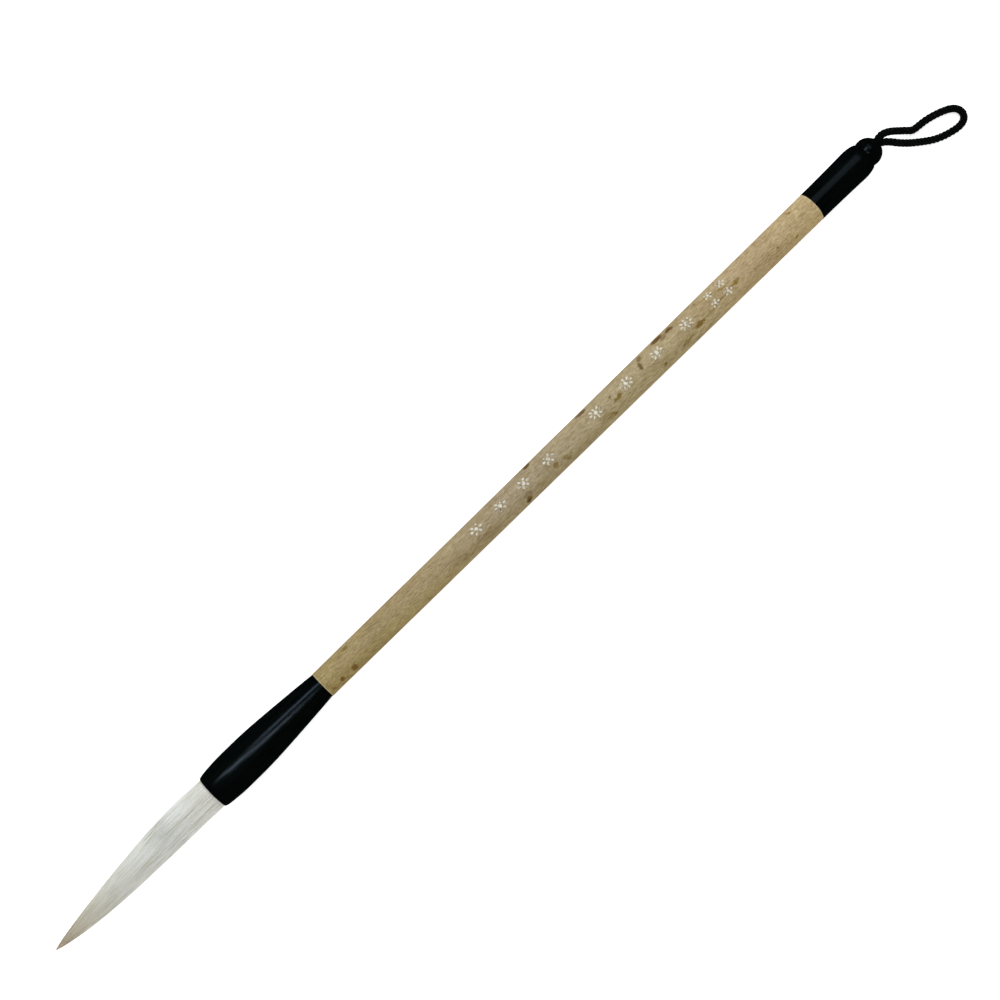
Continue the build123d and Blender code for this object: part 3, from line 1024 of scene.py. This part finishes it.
def lay_hairs(name, starts, ends, rings):
    """Loose hairs on the form. Starts and ends are places behind the tip. Each hair wanders a little to
    the side, lies more or less deep, and thins towards both ends."""
    count = len(starts)
    share = np.linspace(0, 1, rings)[None, :]
    places = starts[:, None] + (ends - starts)[:, None] * share
    turn = rng.random(count)[:, None] * 2 * math.pi
    most_drift = 0.10
    drift = (rng.random(count)[:, None] - 0.5) * most_drift
    drift = drift * np.sin(share * math.pi * (0.6 + rng.random(count)[:, None]))
    turn = turn + drift
    most_depth = 0.07 * mm
    depth = most_depth * rng.random(count)[:, None] ** 1.5
    thick = hair_radius * (0.75 + 0.5 * rng.random(count)[:, None])
    root_taper = np.clip(share / 0.05, 0.25, 1)
    tip_taper = np.clip((1 - share) / 0.35, 0.06, 1) ** 0.8
    # Close to the tuft's tip there is room only for the thinned ends of the hairs.
    crowded_radius = 0.9 * mm
    near_tip = np.minimum(1, tuft_radius(places) / crowded_radius)
    radii = thick * (root_taper * tip_taper)
    radii = radii * (0.35 + 0.65 * near_tip)
    reach = tuft_radius(places) + lock_relief(places, turn) * near_tip - radii - depth * near_tip
    reach = np.maximum(reach, 0.02 * mm)
    lines = tuft_middle(places) + reach[..., None] * outward(turn)
    return build_tubes(name, lines, outward(turn), radii, 1.0, hair_sides, rng.random(count))


def comb(mesh):
    """Notes each point's place along the tuft and its turn about it, on a round bundle of even thickness.
    A pattern read from these places runs together with the hairs towards the tip."""
    points = np.empty(len(mesh.vertices) * 3, np.float32)
    mesh.vertices.foreach_get("co", points)
    points = points.reshape(-1, 3).astype(float)
    middle = tuft_middle(points[:, 0] - tip_x)
    combed_points = middle + fullest_radius * unit(points - middle)
    combed_points[:, 0] = points[:, 0]
    note = mesh.attributes.new("combed_place", "FLOAT_VECTOR", "POINT")
    note.data.foreach_set("vector", combed_points.astype(np.float32).ravel())


def join_meshes(name, meshes):
    """One object from several meshes."""
    pieces = [show_mesh(f"{name}_{i}", mesh, goat_hair) for i, mesh in enumerate(meshes)]
    bpy.ops.object.select_all(action="DESELECT")
    for piece in pieces:
        piece.select_set(True)
    bpy.context.view_layer.objects.active = pieces[0]
    bpy.ops.object.join()
    joined = bpy.context.object
    joined.name = name
    keep_rest_places(joined.data)
    comb(joined.data)
    return joined


# The point's rings stand closer together towards the tip, and so do the ends of its hairs.
point_form_rings, point_hair_rings = 64, 16
point_places = seam_place * np.linspace(0, 1, point_form_rings) ** 1.3
point_radii = np.maximum(tuft_radius(point_places) - under_hair, 0.06 * mm)
point_form = hair_form("point_form", point_places, point_radii)
point_count = 1500
point_ends = 30 * mm * rng.random(point_count) ** 1.5
point_starts = (34.5 + 7.0 * rng.random(point_count)) * mm
point_hairs = lay_hairs("point_hairs", point_starts, point_ends, point_hair_rings)
hair_point = join_meshes("tuft_point_hair", [point_form, point_hairs])
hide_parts("hair_core_point", "hair_mantle_point")

# The belly runs on into the ferrule, as the root. The thread sinks into a groove near its end.
binding_low, binding_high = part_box("root_binding")
thread_bite = 0.42 * mm
binding_ring = binding_high.z - axis_z - thread_bite
belly_form_rings, belly_hair_rings = 44, 12
belly_places = np.linspace(seam_place, mouth_place + 3 * mm, belly_form_rings)
belly_places = np.append(belly_places, root_place - 0.02 * mm)
loose_hair_depth = np.where(belly_places < mouth_place + 2 * mm, under_hair, 0.0)
belly_radii = tuft_radius(belly_places) - loose_hair_depth
groove_start, groove_end = binding_low.x - tip_x, binding_high.x - tip_x
groove = [
    (groove_start - 0.03 * mm, bore_hair_radius),
    (groove_start - 0.01 * mm, binding_ring),
    (groove_end + 0.01 * mm, binding_ring),
    (groove_end + 0.03 * mm, bore_hair_radius),
]
belly_places = np.concatenate([belly_places[:-1], [g[0] for g in groove], belly_places[-1:]])
belly_radii = np.concatenate([belly_radii[:-1], [g[1] for g in groove], belly_radii[-1:]])
belly_form = hair_form("belly_form", belly_places, belly_radii)
belly_count = 1500
belly_starts = mouth_place + (1.5 + 3.0 * rng.random(belly_count)) * mm
belly_ends = (33.0 + 8.0 * rng.random(belly_count)) * mm
belly_hairs = lay_hairs("belly_hairs", belly_starts, belly_ends, belly_hair_rings)
hair_belly = join_meshes("tuft_belly_hair", [belly_form, belly_hairs])
layers = ("core", "lining", "mantle")
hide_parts(*[f"hair_{layer}_{stretch}" for layer in layers for stretch in ("root", "belly")])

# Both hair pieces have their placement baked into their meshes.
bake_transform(hair_belly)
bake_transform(hair_point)


# ---------------------------------------------------------------- binding thread and resin
# Waxed linen thread is wound five times round the root of the tuft. Hot resin is poured over the singed
# root, and more of it glues the root into the ferrule.
# The thread's plies lie aslant round it, and the wax leaves a dull shine.
thread, tree = new_material("waxed_linen_thread")
place = add_node(tree, "TexCoord")
thread_ply_spacing = 0.15 * mm
ply_slant = 0.5
ply_place = add_node(
    tree,
    "Mapping",
    {
        "Vector": place.outputs["Object"],
        "Rotation": (0.0, ply_slant, ply_slant),
        "Scale": [1 / thread_ply_spacing] * 3,
    },
)
plies = add_node(
    tree, "TexWave", {"Vector": ply_place.outputs["Vector"], "Scale": 0.5, "Distortion": 2.0}
)
flax = add_node(
    tree,
    "ValToRGB",
    {"Fac": plies.outputs["Fac"]},
    stops=[(0.0, linear("#a8977a")), (1.0, linear("#d6caae"))],
)
thread_bump = add_node(
    tree, "Bump", {"Height": plies.outputs["Fac"], "Strength": 0.6, "Distance": 0.03 * mm}
)
thread_shader = add_node(
    tree,
    "BsdfPrincipled",
    {"Base Color": flax.outputs["Color"], "Roughness": 0.6, "Normal": thread_bump.outputs["Normal"]},
)
close_material(tree, thread_shader)
dress("root_binding", thread)

# Pine resin is dark amber, glossy where it set free and clouded with small bubbles.
resin, tree = new_material("pine_resin")
place = add_node(tree, "TexCoord")
bubble_size = 0.5 * mm
bubbles = add_node(tree, "TexVoronoi", {"Vector": place.outputs["Object"], "Scale": 1 / bubble_size})
amber = add_node(
    tree,
    "ValToRGB",
    {"Fac": bubbles.outputs["Distance"]},
    stops=[(0.1, linear("#8a5a22")), (0.6, linear("#4a2a10"))],
)
resin_bump = add_node(
    tree, "Bump", {"Height": bubbles.outputs["Distance"], "Strength": 0.3, "Distance": 0.04 * mm}
)
resin_shader = add_node(
    tree,
    "BsdfPrincipled",
    {
        "Base Color": amber.outputs["Color"],
        "Roughness": 0.25,
        "IOR": 1.54,
        "Normal": resin_bump.outputs["Normal"],
    },
)
close_material(tree, resin_shader)
dress("root_glue", resin)
